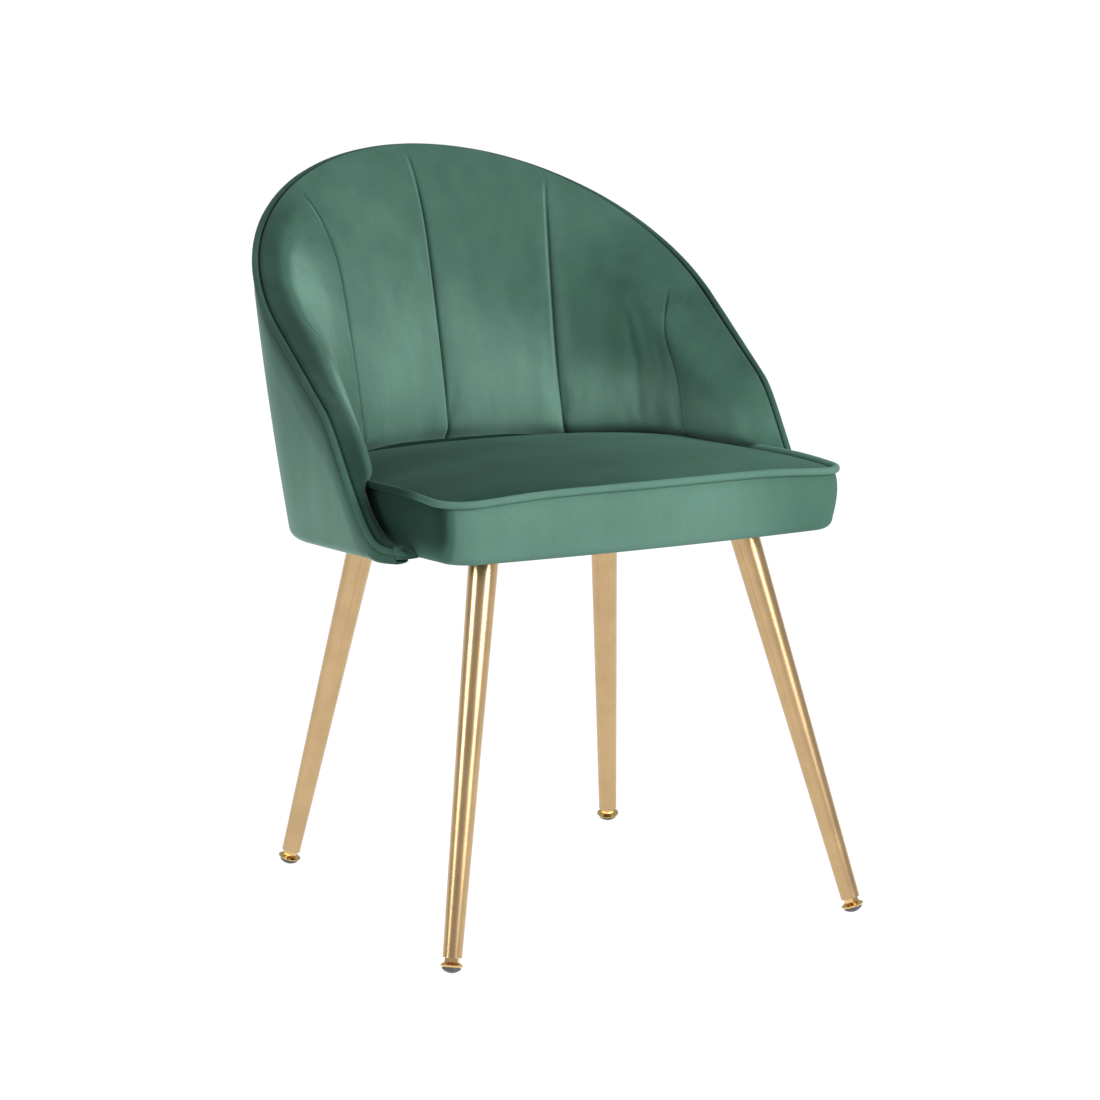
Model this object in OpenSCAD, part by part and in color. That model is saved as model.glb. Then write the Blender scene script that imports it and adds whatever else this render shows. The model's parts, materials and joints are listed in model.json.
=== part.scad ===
// Barrel-back dining chair: an upholstered seat held in a curved, channelled back,
// on four splayed tapered metal legs with screw-in levelling glides.
// Millimetres, +Z up. The front faces -Y. The origin is on the floor, under the
// middle of the whole chair. Left is -X, as seen by someone facing the chair.

/* [Seat] */
// Height of the seat's underside above the floor, halfway between the feet
seat_lift = 412; // [404:1:420]
// Backward slope of the seat and back unit, in degrees
seat_tilt = 3.1; // [1:0.1:4]
// Width of the seat cushion at its piping
seat_w = 482; // [474:1:486]
// Distance from the cushion's front edge to the line halfway between the feet
seat_front = 246; // [236:1:256]
// Height of the piping above the seat's underside
seat_t = 70; // [64:1:76]
// Radius of the cushion's front corners, seen from above
seat_corner = 42; // [32:1:54]
// Rise of the cushion's middle above its piping
seat_crown = 10; // [4:1:16]

/* [Back] */
// Outside width of the back
back_w = 556; // [552:1:570]
// Depth of the back's rear curve, seen from above
back_round = 200; // [190:1:210]
// Distance from the line halfway between the feet to the foot of the back
back_foot = 258; // [252:1:264]
// Narrowing of the back's sides, from their widest down to the seat's underside
back_flare = 4.5; // [0:0.5:10]
// Lean of the back against the seat, in degrees
back_lean = 12.4; // [8:0.1:14]
// Slope of the back's top edge along the arms, in degrees
rim_slope = 36.4; // [34:0.1:38]
// Height of that slope above the seat's underside, halfway between the feet
rim_base = 148.6; // [140:0.2:156]
// Padded thickness of the arms
arm_t = 28; // [27:1:32]
// Padded thickness of the middle of the back
back_t = 50; // [44:1:54]
// Extra padded thickness of the sides, beside the seat
side_t = 20; // [12:1:24]
// Diameter of the welt and of the seat piping
piping_d = 7; // [6:0.5:8]

/* [Legs] */
// Half the distance between the front feet
front_foot_x = 245; // [235:1:255]
// Half the distance between the rear feet
rear_foot_x = 207; // [197:1:217]
// Half the distance from the front feet to the rear feet
foot_y = 238; // [228:1:248]
// Half the distance between the front legs, 400 mm above the floor
front_top_x = 162; // [154:1:168]
// Half the distance between the rear legs, 400 mm above the floor
rear_top_x = 151; // [143:1:157]
// Half the distance from the front legs to the rear legs, 400 mm above the floor
top_y = 150; // [142:1:156]
// Diameter of a leg 400 mm above the floor
leg_top_d = 31.4; // [29:0.2:33]
// Diameter of a leg at its foot
leg_foot_d = 20.6; // [20:0.2:23]
// Wall of the leg tube
leg_wall = 1.5; // [1.2:0.1:2]

/* [Glides] */
// Diameter of the glide's flange
flange_d = 25; // [23:0.5:27]
// Diameter of the glide's pad
pad_d = 20; // [18:0.5:21]
// Radius of the pad's domed sole
sole_r = 14; // [13:0.5:16]
// Diameter of the glide's thread
thread_d = 8; // [6:1:8]

/* [Hidden] */

$fn = 48;
velvet = [0.20, 0.39, 0.32];
gold = [0.80, 0.66, 0.42];
wood = [0.78, 0.66, 0.47];
foam = [0.93, 0.90, 0.74];
steel = [0.62, 0.63, 0.65];
black = [0.10, 0.10, 0.11];

box_mid = 58.8;                   // the whole chair's middle, behind the line between the feet
gap = 0.3;                        // clearance between neighbouring soft pieces
cover_t = 1.4;                    // thickness of the velvet with its backing
piping_r = piping_d / 2;
seat_in = (back_w - seat_w) / 2;  // from the back's outside to the seat's side

board_z = 1.9;                    // underside of the seat board above the seat's underside
board_t = 15;
board_in = 21;                    // from the seat's side to the board's edge
board_top = board_z + board_t;
foam_z = board_top + 1.6;
edge_r = 12;                      // rounding of the cushion's lower edge
edge_in = 8;                      // from the piping in to the foot of the boxing
wrap_w = 16;                      // boxing folded under the board
boxing_h = 46;                    // height of the boxing above its rounded edge, before trimming
dust_t = 0.9;
front_bow = 10;                   // bulge of the front edge, seen from above
corner_dip = 6;                   // drop of the piping at the front corners

tip_y = -140;                     // front tip of the arms
tip_h = 10;                       // height of the arms at their tip
tip_curl = 12;                    // inward curl of the arms at their tip
tip_share = 0.18;                 // share of each arm that curls
flare_h = 260;                    // height at which the sides are widest
arm_sweep = 137;                  // length over which the rim sweeps up from the tip
arm_part = 0.42;                  // share of each side of the back that is straight
rim_edge = 8;                     // from the outside in to the inner cover, at the rim
lower_round = 13;                 // rounding of the outer cover's lower edge
lower_fold = 17;                  // where the cover ends under the back, from its outside
ply_out = 3.2;                    // outer face of the moulded plywood, from the outside
ply_in = 12;                      // inner face of the moulded plywood
ply_end = 5 / 6;                  // where the plywood stops, as a share of each side
ply_top_in = 8;                   // further drop of the plywood's top edge under the padding
ply_z = 10;                       // lower edge of the moulded plywood
shell_screw_z = 14;
shell_screw_len = 20;
ring_out = 13.2;                  // outer and inner edges of the base ring, from the outside
ring_in = 27.5;
seams = [-1, -0.55, -0.225, 0, 0.225, 0.55, 1];
rows_u = 60;                      // rows of points from arm tip to arm tip
pad_steps = 10;                   // rows of points up the padding
pad_knee = seat_t + 4;            // height at which the padding swells over the seat cushion

plate_w = 78;                     // leg mounting plate, square
plate_turn = 55;                  // its direction in from the leg, measured from the X axis
plate_in = 22;                    // its middle, in from the leg along that direction
plate_t = 2.5;
plate_r = 12;
plate_z = 0.3;                    // top of the plates, on the covered underside
bolt_at = 26;                     // bolt holes from the plate's middle
bolt_r = 3;
bolt_hole_r = 3.3;
bolt_len = 20;
nut_r = 4;
nut_hole_r = 4.1;
nut_flange_r = 9.5;
nut_flange_t = 1.2;
nut_len = 9;
washer_r = 6.2;
washer_t = 1.2;

join_len = 86;                    // flat joining plate between the back and the seat
join_w = 18;
join_u = [-0.80, -0.52, -0.13, 0.13, 0.52, 0.80];
join_start = 15;                  // outer end of the plate, from the back's outside
join_holes = [5.5, 64, 78];       // along the plate, from its outer end
screw_r = 2;
screw_hole_r = 2.05;
screw_len = 12;
screw_head_r = 3.8;

ball_z = sole_r - 0.6;            // the pad's centre of curvature above the floor
pad_top = -8;                     // heights along the leg, from that centre
hex_base = -2.6;
hex_af = 14;
tube_z = 2;
insert_len = 16;
thread_end = 30;
spigot_r = 2.5;
run_gap = 0.05;                   // radial running clearance of the glide's thread and spigot
leg_ref_z = 400;                  // height at which the leg tops are measured

function ease(t) = let (c = min(max(t, 0), 1)) c * c * (3 - 2 * c);
function side(u) = u < 0 ? -1 : 1;

// ---- outside surface of the back, in the seat's own frame -----------------------------
// u runs from -1 at the left arm's tip through 0 at the rear to 1 at the right arm's tip,
// z is the height above the seat's underside and d the depth in from the outside.
function arc_y(z) = back_foot + z * tan(back_lean) - back_round;
function arm_share(u) = min((1 - abs(u)) / arm_part, 1);
function turn(u) = max(0, 90 * (1 - abs(u) - arm_part) / (1 - arm_part));
function curl(u) = tip_curl * pow(max(0, 1 - arm_share(u) / tip_share), 2);
function flare(z) = back_flare * pow(max(0, 1 - z / flare_h), 2);
function wall(u, z, d) = [
    side(u) * ((back_w / 2 - d - flare(z)) * cos(turn(u)) - curl(u)),
    tip_y + (arc_y(z) - tip_y) * arm_share(u) + (back_round - d) * sin(turn(u)),
    z];
// Height of the rim: a sloping plane that sweeps down to the tip at the front of each arm
function rim_over(y) = tip_h + (rim_base + y * tan(rim_slope) - tip_h) * ease((y - tip_y) / arm_sweep);
function rim(u, z = 100, steps = 6) = steps == 0 ? z : rim(u, rim_over(wall(u, z, 0)[1]), steps - 1);
// Depth of the padded inner face: thickest at the sides, tapered towards the arm tips, thin
// beside the seat cushion, and rolled over towards the rim
function full_depth(u) = arm_t + (back_t - arm_t + side_t * ease(2 * abs(u))) * pow(arm_share(u), 1.3);
function roll_h(u) = 24 + 96 * sin(min(90, 1.6 * turn(u)));
function depth(u, z) =
    let (low = arm_t + (full_depth(u) - arm_t) * ease((z - pad_knee) / 25),
         below = min(max(rim(u) - z, 0), roll_h(u)) / roll_h(u))
    rim_edge + (low - rim_edge) * (1 - pow(1 - below, 2));
// 1 along the stretch that the plywood stiffens, falling to 0 past its end
function stiffened(u) = ease(2.5 - (abs(u) - ply_end) * rows_u / 2);
// Rounding of the outer cover's lower edge, which is smaller at the low arm tips
function edge_round(u) = min(lower_round, 0.45 * (rim(u) - piping_r - gap));
// Lower edge and outer face of the padding: clear of the plywood, or of the rounding past its end
function pad_base(u) = let (free = plate_z + cover_t + gap + 0.3 * edge_round(u))
    free + (foam_z - free) * stiffened(u);
function pad_out(u) = let (free = cover_t + gap + 0.3 * edge_round(u))
    free + (ply_in + 0.4 - free) * stiffened(u);
// Heights of the padding's rows, closer together towards the rim
function pad_rows(u) =
    let (low = pad_base(u), high = rim(u) - piping_r - 1, knee = min(pad_knee, low + 0.4 * (high - low)))
    concat([low], [for (k = [0 : pad_steps - 1]) knee + (high - knee) * sin(90 * k / (pad_steps - 1))]);
// Lowering of the plywood's top edge that leaves room for the rolled padding
function ply_drop(u) = ply_top_in
    + roll_h(u) * (1 - sqrt(1 - (ply_in + 7 - rim_edge) / (full_depth(u) - rim_edge)));

// ---- outline of the seat cushion, e inside its side, at height z ---------------------------
function seat_outline(e, z) =
    let (w = seat_w / 2 - e, yc = arc_y(z), b = back_round - seat_in - e,
         r = max(seat_corner - e, 12), f = -seat_front + e, fy = f + front_bow + r, x = w - r)
    concat(
        [for (k = [12 : 24]) [w * cos(7.5 * k), yc + b * sin(7.5 * k)]],
        [for (k = [1 : 5]) [-w, yc + (fy - yc) * k / 5]],
        [for (k = [1 : 6]) [-x - r * cos(15 * k), fy - r * sin(15 * k)]],
        [for (k = [-4 : 4]) [x * k / 5, f + front_bow * pow(k / 5, 2)]],
        [for (k = [6 : -1 : 0]) [x + r * cos(15 * k), fy - r * sin(15 * k)]],
        [for (k = [4 : -1 : 1]) [w, yc + (fy - yc) * k / 5]],
        [for (k = [0 : 11]) [w * cos(7.5 * k), yc + b * sin(7.5 * k)]]);
// The piping's height dips at the front corners
function corner_off(p) = norm([abs(p[0]) - seat_w / 2 + 10, p[1] + seat_front - 18]);
function piping_z(p) = seat_t - corner_dip * exp(-pow(corner_off(p) / 70, 2));
// Boxing profile, o inside its outer face: under the board, round the lower edge, up the side
function boxing_profile(o) = concat(
    [[edge_in + edge_r + wrap_w, plate_z + o]],
    [for (a = [0 : 22.5 : 90])
        [edge_in + edge_r - (edge_r - o) * sin(a), plate_z + edge_r - (edge_r - o) * cos(a)]],
    [for (k = [1 : 4]) [edge_in * (1 - k / 4) + o, plate_z + edge_r + boxing_h * k / 4]]);

// ---- closed solids from rows of points -----------------------------------------------------
// Each ring is a closed loop of the same even length. Wrapped rings join end to end.
// The second half lies back to back with the first, loop by loop or row by row, and its
// quads are split the other way so that the two faces of a thin sheet stay parallel.
module skin(rings, wrapped = false, by_row = false) {
    n = len(rings[0]);
    rows = len(rings);
    last = (rows - 1) * n;
    sides = [for (r = [0 : rows - (wrapped ? 1 : 2)], j = [0 : n - 1])
        let (a = r * n, b = ((r + 1) % rows) * n, k = (j + 1) % n,
             second = by_row || wrapped ? r >= floor(rows / 2) : j >= n / 2)
        each second ? [[a + j, b + j, a + k], [b + j, b + k, a + k]]
                    : [[a + j, b + j, b + k], [a + j, b + k, a + k]]];
    caps = wrapped ? [] : [for (j = [0 : n / 2 - 2])
        each [[j, j + 1, n - 2 - j, n - 1 - j],
              [last + n - 1 - j, last + n - 2 - j, last + j + 1, last + j]]];
    polyhedron(points = [for (ring = rings) each ring], faces = concat(sides, caps), convexity = 6);
}

// The frame of the seat and back, tilted back over the legs
module seat_frame() {
    translate([0, -box_mid, seat_lift]) rotate([-seat_tilt, 0, 0]) children();
}

// Evenly spaced places along the back from u0 to u1, and those of one channel between its seams
function rows_between(u0, u1) =
    let (n = max(4, ceil(rows_u * (u1 - u0) / 2))) [for (k = [0 : n]) u0 + (u1 - u0) * k / n];
function channel_rows(i, slit) = rows_between(seams[i - 1] + slit, seams[i] - slit);

// ---- seat ----------------------------------------------------------------------------------
function plate_dir(i) = [(i % 2 == 0 ? 1 : -1) * cos(plate_turn), (i < 2 ? 1 : -1) * sin(plate_turn)];
function plate_mid(i) = [leg_hit(i)[0], leg_hit(i)[1]] + plate_in * plate_dir(i);

module at_plates() {
    for (i = [0 : 3]) translate(plate_mid(i)) rotate([0, 0, atan2(plate_dir(i)[1], plate_dir(i)[0])])
        children();
}

module at_nuts() {
    at_plates() for (sx = [-1, 1], sy = [-1, 1]) translate([sx * bolt_at, sy * bolt_at, 0]) children();
}

function join_at(u, d) = [wall(u, 0, d)[0], wall(u, 0, d)[1]];

module at_joins() {
    for (u = join_u) {
        along = join_at(u, join_start + 1) - join_at(u, join_start);
        translate(join_at(u, join_start)) rotate([0, 0, atan2(along[1], along[0])]) children();
    }
}

module seat_board() {
    color(wood) seat_frame() difference() {
        translate([0, 0, board_z]) linear_extrude(board_t) polygon(seat_outline(board_in, board_z));
        at_nuts() translate([0, 0, board_z - 1]) cylinder(r = nut_hole_r, h = board_t + 2);
        at_joins() for (x = [join_holes[1], join_holes[2]])
            translate([x, 0, board_z - 1]) cylinder(r = screw_hole_r, h = screw_len);
    }
}

module tee_nuts() {
    color(steel) seat_frame() at_nuts() difference() {
        union() {
            translate([0, 0, board_top]) cylinder(r = nut_flange_r, h = nut_flange_t);
            translate([0, 0, board_top - nut_len]) cylinder(r = nut_r, h = nut_len);
        }
        translate([0, 0, board_top - nut_len - 1]) cylinder(r = bolt_r + run_gap, h = nut_len + 4);
    }
}

// Horizontal rings of the cushion's stuffing, then its crowned top
module seat_foam() {
    inside = cover_t + gap + 0.4;
    top_gap = cover_t + 2 * gap;
    body_rings = [for (s = [0, 0.5, 1])
        [for (p = seat_outline(edge_in * (1 - s) + inside, foam_z))
            [p[0], p[1], foam_z + s * (piping_z(p) - 8 - foam_z)]]];
    top_rings = [for (k = [0.97, 0.88, 0.72, 0.5, 0.2]) crown_ring(k, -top_gap)];
    color(foam) seat_frame() skin(concat(body_rings, top_rings));
}

// One ring of the crowned top: the piping's inner side scaled by k about the cushion's middle
function crown_ring(k, lift) = [for (p = seat_outline(piping_r + gap, seat_t))
    let (top = seat_t + seat_crown)
    [p[0] * k, p[1] * k, top - (top - piping_z(p)) * pow(k, 3) + lift]];

module seat_top_panel() {
    scales = [0.15, 0.4, 0.65, 0.82, 0.93, 1];
    color(velvet) seat_frame() skin(concat(
        [for (k = scales) crown_ring(k, -cover_t)],
        [for (i = [5 : -1 : 0]) crown_ring(scales[i], 0)]), by_row = true);
}

module seat_boxing() {
    outer = boxing_profile(0);
    inner = boxing_profile(cover_t);
    profile = concat(outer, [for (i = [len(inner) - 1 : -1 : 0]) inner[i]]);
    top = outer[len(outer) - 1][1];
    color(velvet) seat_frame() skin([for (q = profile)
        [for (p = seat_outline(q[0], q[1]))
            [p[0], p[1], q[1] <= edge_r ? q[1]
                : edge_r + (q[1] - edge_r) * (piping_z(p) - piping_r - gap - edge_r) / (top - edge_r)]]],
        wrapped = true);
}

module seat_piping() {
    color(velvet) seat_frame() skin([for (a = [-180 : 45 : 135])
        [for (p = seat_outline(-piping_r * cos(a), seat_t))
            [p[0], p[1], piping_z(p) + piping_r * sin(a)]]], wrapped = true);
}

module dust_cover() {
    color(black) seat_frame() difference() {
        translate([0, 0, plate_z]) linear_extrude(dust_t)
            polygon(seat_outline(edge_in + edge_r + wrap_w + gap, board_z));
        at_nuts() translate([0, 0, -1]) cylinder(r = bolt_hole_r, h = 4);
        at_joins() for (x = [join_holes[1], join_holes[2]])
            translate([x, 0, -1]) cylinder(r = screw_hole_r + gap, h = 4);
    }
}

// The staples run round inside the boxing's fold and keep off the leg plates and joining plates
staple_in = edge_in + edge_r + wrap_w + 6;
staple_l = 10;

function clear_of_plates(p) =
    min([for (i = [0 : 3]) norm(p - plate_mid(i))]) > (plate_w + staple_l) / sqrt(2)
    && min([for (u = join_u) norm(p - join_at(u, seat_in + staple_in))]) > join_w;

module dust_cover_staples() {
    path = seat_outline(staple_in, board_z);
    wire = 0.7;
    leg_l = 7;
    color(steel) seat_frame() for (i = [1 : 2 : len(path) - 1]) if (clear_of_plates(path[i])) {
        step = path[(i + 1) % len(path)] - path[i - 1];
        translate([path[i][0], path[i][1], plate_z]) rotate([0, 0, atan2(step[1], step[0])]) {
            translate([-staple_l / 2, -wire / 2, -wire]) cube([staple_l, wire, wire]);
            for (s = [-1, 1]) translate([s * (staple_l - wire) / 2 - wire / 2, -wire / 2, -wire])
                cube([wire, wire, leg_l]);
        }
    }
}

// ---- back ----------------------------------------------------------------------------------
module base_ring() {
    us = rows_between(-ply_end, ply_end);
    n = len(us);
    outer = [for (u = us) let (p = wall(u, board_z, ring_out)) [p[0], p[1]]];
    inner = [for (i = [n - 1 : -1 : 0]) let (p = wall(us[i], board_z, ring_in)) [p[0], p[1]]];
    color(wood) seat_frame() difference() {
        translate([0, 0, board_z]) linear_extrude(board_t) polygon(concat(outer, inner));
        at_joins() translate([join_holes[0], 0, board_z - 1]) cylinder(r = screw_hole_r, h = screw_len);
    }
}

module back_shell() {
    steps = 7;
    color(wood) seat_frame() skin([for (u = rows_between(-ply_end, ply_end))
        let (top = rim(u) - ply_drop(u)) concat(
            [for (k = [0 : steps]) wall(u, ply_z + (top - ply_z) * k / steps, ply_out)],
            [for (k = [steps : -1 : 0]) wall(u, ply_z + (top - ply_z) * k / steps, ply_in)])]);
}

// Countersunk screws through the moulded plywood into the middle of the base ring's edge
module shell_screws() {
    head_h = 2.2;
    color(steel) seat_frame() for (u = [-0.82 : 0.18 : -0.05], s = [-1, 1]) {
        outer = wall(s * u, shell_screw_z, ply_out);
        inner = wall(s * u, shell_screw_z, ply_out + 1);
        translate(outer) rotate([0, 0, atan2(inner[1] - outer[1], inner[0] - outer[0])])
            rotate([0, 90, 0]) {
                cylinder(r1 = screw_head_r, r2 = screw_r, h = head_h);
                cylinder(r = screw_r, h = shell_screw_len);
            }
    }
}

module back_foam() {
    us = concat([seams[0]], [for (i = [1 : len(seams) - 1]) let (part = channel_rows(i, 0))
        each [for (k = [1 : len(part) - 1]) part[k]]]);
    color(foam) seat_frame() skin([for (u = us) let (zs = pad_rows(u)) concat(
        [for (z = zs) wall(u, z, min(pad_out(u), depth(u, z) - cover_t - 2))],
        [for (k = [pad_steps : -1 : 0]) wall(u, zs[k], depth(u, zs[k]) - cover_t - 2 * gap)])]);
}

// One sewn channel of the inner cover, between two neighbouring seams
module inner_panel(i) {
    slit = 0.0006;                // share of a side left open at each seam
    color(velvet) seat_frame() skin([for (u = channel_rows(i, slit))
        let (zs = concat(pad_rows(u), [rim(u) - 0.5])) concat(
            [for (z = zs) wall(u, z, depth(u, z) - cover_t)],
            [for (k = [pad_steps + 1 : -1 : 0]) wall(u, zs[k], depth(u, zs[k]))])]);
}

module back_outer_cover() {
    color(velvet) seat_frame() skin([for (u = rows_between(-1, 1))
        let (top = rim(u) - piping_r - gap, r = edge_round(u), fold = min(lower_fold, 0.8 * depth(u, 2)))
        concat(outer_profile(u, 0, top, r, fold),
            let (back = outer_profile(u, cover_t, top, r, fold))
            [for (k = [len(back) - 1 : -1 : 0]) back[k]])]);
}

// Outer cover profile, o inside its outer face: folded under, round the lower edge, up to the welt
function outer_profile(u, o, top, r, fold) = concat(
    [wall(u, plate_z + o, fold)],
    [for (a = [0 : 22.5 : 90]) wall(u, plate_z + r - (r - o) * cos(a), r - (r - o) * sin(a))],
    [for (k = [1 : 5]) wall(u, plate_z + r + (top - plate_z - r) * k / 5, o)]);

module rim_welt() {
    color(velvet) seat_frame() skin([for (u = rows_between(-1, 1))
        [for (a = [-157.5 : 45 : 157.5])
            wall(u, rim(u) + piping_r * sin(a), piping_r - 0.8 - piping_r * cos(a))]]);
}

// ---- hardware under the seat ---------------------------------------------------------------
module join_plates() {
    color(steel) seat_frame() at_joins() difference() {
        translate([0, -join_w / 2, plate_z - plate_t]) cube([join_len, join_w, plate_t]);
        for (x = join_holes) translate([x, 0, plate_z - plate_t - 1])
            cylinder(r = screw_r + 0.3, h = plate_t + 2);
    }
}

// Low domed head under a screw or bolt, its top at z = 0, with room for the driver in its middle
module domed_head(r, h, dome_r) {
    translate([0, 0, -h]) difference() {
        intersection() {
            cylinder(r = r, h = h);
            translate([0, 0, dome_r - 0.3 * h]) sphere(r = dome_r);
        }
        translate([0, 0, -1]) linear_extrude(0.6 * h + 1) children();
    }
}

module join_screws() {
    head_h = 1.8;
    slot_l = 5.2;
    slot_w = 1;
    color(steel) seat_frame() at_joins() for (x = join_holes) translate([x, 0, plate_z - plate_t]) {
        domed_head(screw_head_r, head_h, 5) {
            square([slot_l, slot_w], center = true);
            square([slot_w, slot_l], center = true);
        }
        cylinder(r = screw_r, h = screw_len);
    }
}

module leg_plates() {
    inner_w = plate_w - 2 * plate_r;
    color(gold) seat_frame() at_plates() translate([0, 0, plate_z - plate_t])
        difference() {
            union() {
                translate([-inner_w / 2, -plate_w / 2, 0]) cube([inner_w, plate_w, plate_t]);
                translate([-plate_w / 2, -inner_w / 2, 0]) cube([plate_w, inner_w, plate_t]);
                for (sx = [-1, 1], sy = [-1, 1]) translate([sx * inner_w / 2, sy * inner_w / 2, 0])
                    cylinder(r = plate_r, h = plate_t);
            }
            for (sx = [-1, 1], sy = [-1, 1]) translate([sx * bolt_at, sy * bolt_at, -1])
                cylinder(r = bolt_hole_r, h = plate_t + 2);
        }
}

module bolt_washers() {
    color(steel) seat_frame() at_nuts() translate([0, 0, plate_z - plate_t - washer_t]) difference() {
        cylinder(r = washer_r, h = washer_t);
        translate([0, 0, -1]) cylinder(r = bolt_hole_r, h = washer_t + 2);
    }
}

module leg_bolts() {
    head_r = 5.3;
    head_h = 3.2;
    socket_r = 2.3;
    color(steel) seat_frame() at_nuts() translate([0, 0, plate_z - plate_t - washer_t]) {
        domed_head(head_r, head_h, 7) circle(r = socket_r, $fn = 6);
        cylinder(r = bolt_r, h = bolt_len);
    }
}

// ---- legs ----------------------------------------------------------------------------------
// Legs in the order front left, front right, rear left, rear right
function foot_at(i) = [(i % 2 == 0 ? -1 : 1) * (i < 2 ? front_foot_x : rear_foot_x),
    (i < 2 ? -foot_y : foot_y) - box_mid, ball_z];
function knee_at(i) = [(i % 2 == 0 ? -1 : 1) * (i < 2 ? front_top_x : rear_top_x),
    (i < 2 ? -top_y : top_y) - box_mid, leg_ref_z];
function leg_dir(i) = let (v = knee_at(i) - foot_at(i)) v / norm(v);
// A point of the room in the seat's frame, and the leg axis where it meets the plate
function in_seat(p) = let (y = p[1] + box_mid, z = p[2] - seat_lift)
    [p[0], y * cos(seat_tilt) - z * sin(seat_tilt), y * sin(seat_tilt) + z * cos(seat_tilt)];
function leg_hit(i) = let (a = in_seat(foot_at(i)), b = in_seat(knee_at(i)))
    a + (b - a) * (plate_z - plate_t - a[2]) / (b[2] - a[2]);

// The leg's own frame: +Z up the leg from the pad's centre of curvature
module leg_frame(i) {
    v = leg_dir(i);
    translate(foot_at(i)) rotate([0, acos(v[2]), atan2(v[1], v[0])]) children();
}

leg_len = norm(knee_at(0) - foot_at(0));
taper = (leg_top_d - leg_foot_d) / 2 / (leg_len - tube_z);
tube_len = 450;                   // longer than the legs, which the plates cut off

module leg(i) {
    foot_r = leg_foot_d / 2;
    head_r = foot_r + taper * tube_len;
    color(gold) difference() {
        leg_frame(i) difference() {
            translate([0, 0, tube_z]) cylinder(r1 = foot_r, r2 = head_r, h = tube_len);
            translate([0, 0, tube_z - 1])
                cylinder(r1 = foot_r - leg_wall - taper, r2 = head_r - leg_wall + taper, h = tube_len + 2);
        }
        seat_frame() translate([-400, -400, plate_z - plate_t]) cube([800, 800, 100]);
    }
}

module leg_inserts() {
    bore_r = leg_foot_d / 2 - leg_wall;
    color(steel) for (i = [0 : 3]) leg_frame(i) translate([0, 0, tube_z]) difference() {
        cylinder(r1 = bore_r, r2 = bore_r + taper * insert_len, h = insert_len);
        translate([0, 0, -1]) cylinder(r = thread_d / 2, h = insert_len + 2);
    }
}

module glide_screw(i) {
    flange_r = flange_d / 2;
    neck_r = hex_af / 2 + 1;
    color(gold) leg_frame(i) {
        rotate_extrude() polygon([[0, pad_top], [pad_d / 2 + 0.5, pad_top], [flange_r, pad_top + 1.6],
            [flange_r, pad_top + 2.4], [neck_r, hex_base], [0, hex_base]]);
        translate([0, 0, hex_base]) cylinder(r = hex_af / 2 / cos(30), h = tube_z - gap - hex_base, $fn = 6);
        translate([0, 0, pad_top - 3.5]) cylinder(r = spigot_r, h = 4);
        cylinder(r = thread_d / 2 - run_gap, h = thread_end);
    }
}

module glide_pad(i) {
    color(black) difference() {
        leg_frame(i) difference() {
            intersection() {
                sphere(r = sole_r);
                translate([0, 0, -sole_r - 1]) cylinder(r = pad_d / 2, h = sole_r + 1 + pad_top);
            }
            translate([0, 0, pad_top - 4]) cylinder(r = spigot_r + run_gap, h = 5);
        }
        translate([-400, -400, -20]) cube([800, 800, 20]);
    }
}

seat_board();
tee_nuts();
seat_foam();
seat_boxing();
seat_top_panel();
seat_piping();
dust_cover();
dust_cover_staples();
base_ring();
back_shell();
shell_screws();
back_foam();
inner_panel(1);  // inner_panel_1
inner_panel(2);  // inner_panel_2
inner_panel(3);  // inner_panel_3
inner_panel(4);  // inner_panel_4
inner_panel(5);  // inner_panel_5
inner_panel(6);  // inner_panel_6
back_outer_cover();
rim_welt();
join_plates();
join_screws();
leg_plates();
leg_bolts();
bolt_washers();
leg(0);  // leg_front_left
leg(1);  // leg_front_right
leg(2);  // leg_rear_left
leg(3);  // leg_rear_right
leg_inserts();
glide_screw(0);  // glide_screw_front_left
glide_screw(1);  // glide_screw_front_right
glide_screw(2);  // glide_screw_rear_left
glide_screw(3);  // glide_screw_rear_right
glide_pad(0);  // glide_pad_front_left
glide_pad(1);  // glide_pad_front_right
glide_pad(2);  // glide_pad_rear_left
glide_pad(3);  // glide_pad_rear_right
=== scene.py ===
"""Barrel-back dining chair: velvet seat and back, gold legs and glides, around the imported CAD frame.

Metres, +Z up, the front faces -Y, left and right as seen from the front. The soft pieces are worked
out in millimetres in the seat's own frame, which is tilted back over the legs: u runs from -1 at the
left arm's tip through 0 at the rear to 1 at the right arm's tip, z is the height above the seat's
underside and d the depth in from the outside.
"""

import json
from math import cos, pi, radians, sin, tan

import bmesh
import bpy
import numpy as np
from mathutils import Matrix, Vector, noise


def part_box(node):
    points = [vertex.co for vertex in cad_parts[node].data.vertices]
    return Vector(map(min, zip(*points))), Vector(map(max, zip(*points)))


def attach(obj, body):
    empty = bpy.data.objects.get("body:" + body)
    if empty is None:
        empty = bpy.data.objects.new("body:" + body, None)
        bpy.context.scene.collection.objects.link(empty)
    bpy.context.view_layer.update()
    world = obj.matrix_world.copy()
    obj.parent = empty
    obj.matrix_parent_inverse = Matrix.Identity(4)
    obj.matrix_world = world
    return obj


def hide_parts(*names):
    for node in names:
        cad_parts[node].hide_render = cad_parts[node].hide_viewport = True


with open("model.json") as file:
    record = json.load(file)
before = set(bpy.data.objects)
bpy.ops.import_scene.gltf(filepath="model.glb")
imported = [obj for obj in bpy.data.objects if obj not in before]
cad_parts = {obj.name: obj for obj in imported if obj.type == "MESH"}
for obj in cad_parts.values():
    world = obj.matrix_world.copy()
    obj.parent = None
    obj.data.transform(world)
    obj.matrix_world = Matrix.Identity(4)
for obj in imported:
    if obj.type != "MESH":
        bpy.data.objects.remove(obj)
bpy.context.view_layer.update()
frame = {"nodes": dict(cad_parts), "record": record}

MM = 0.001

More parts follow.
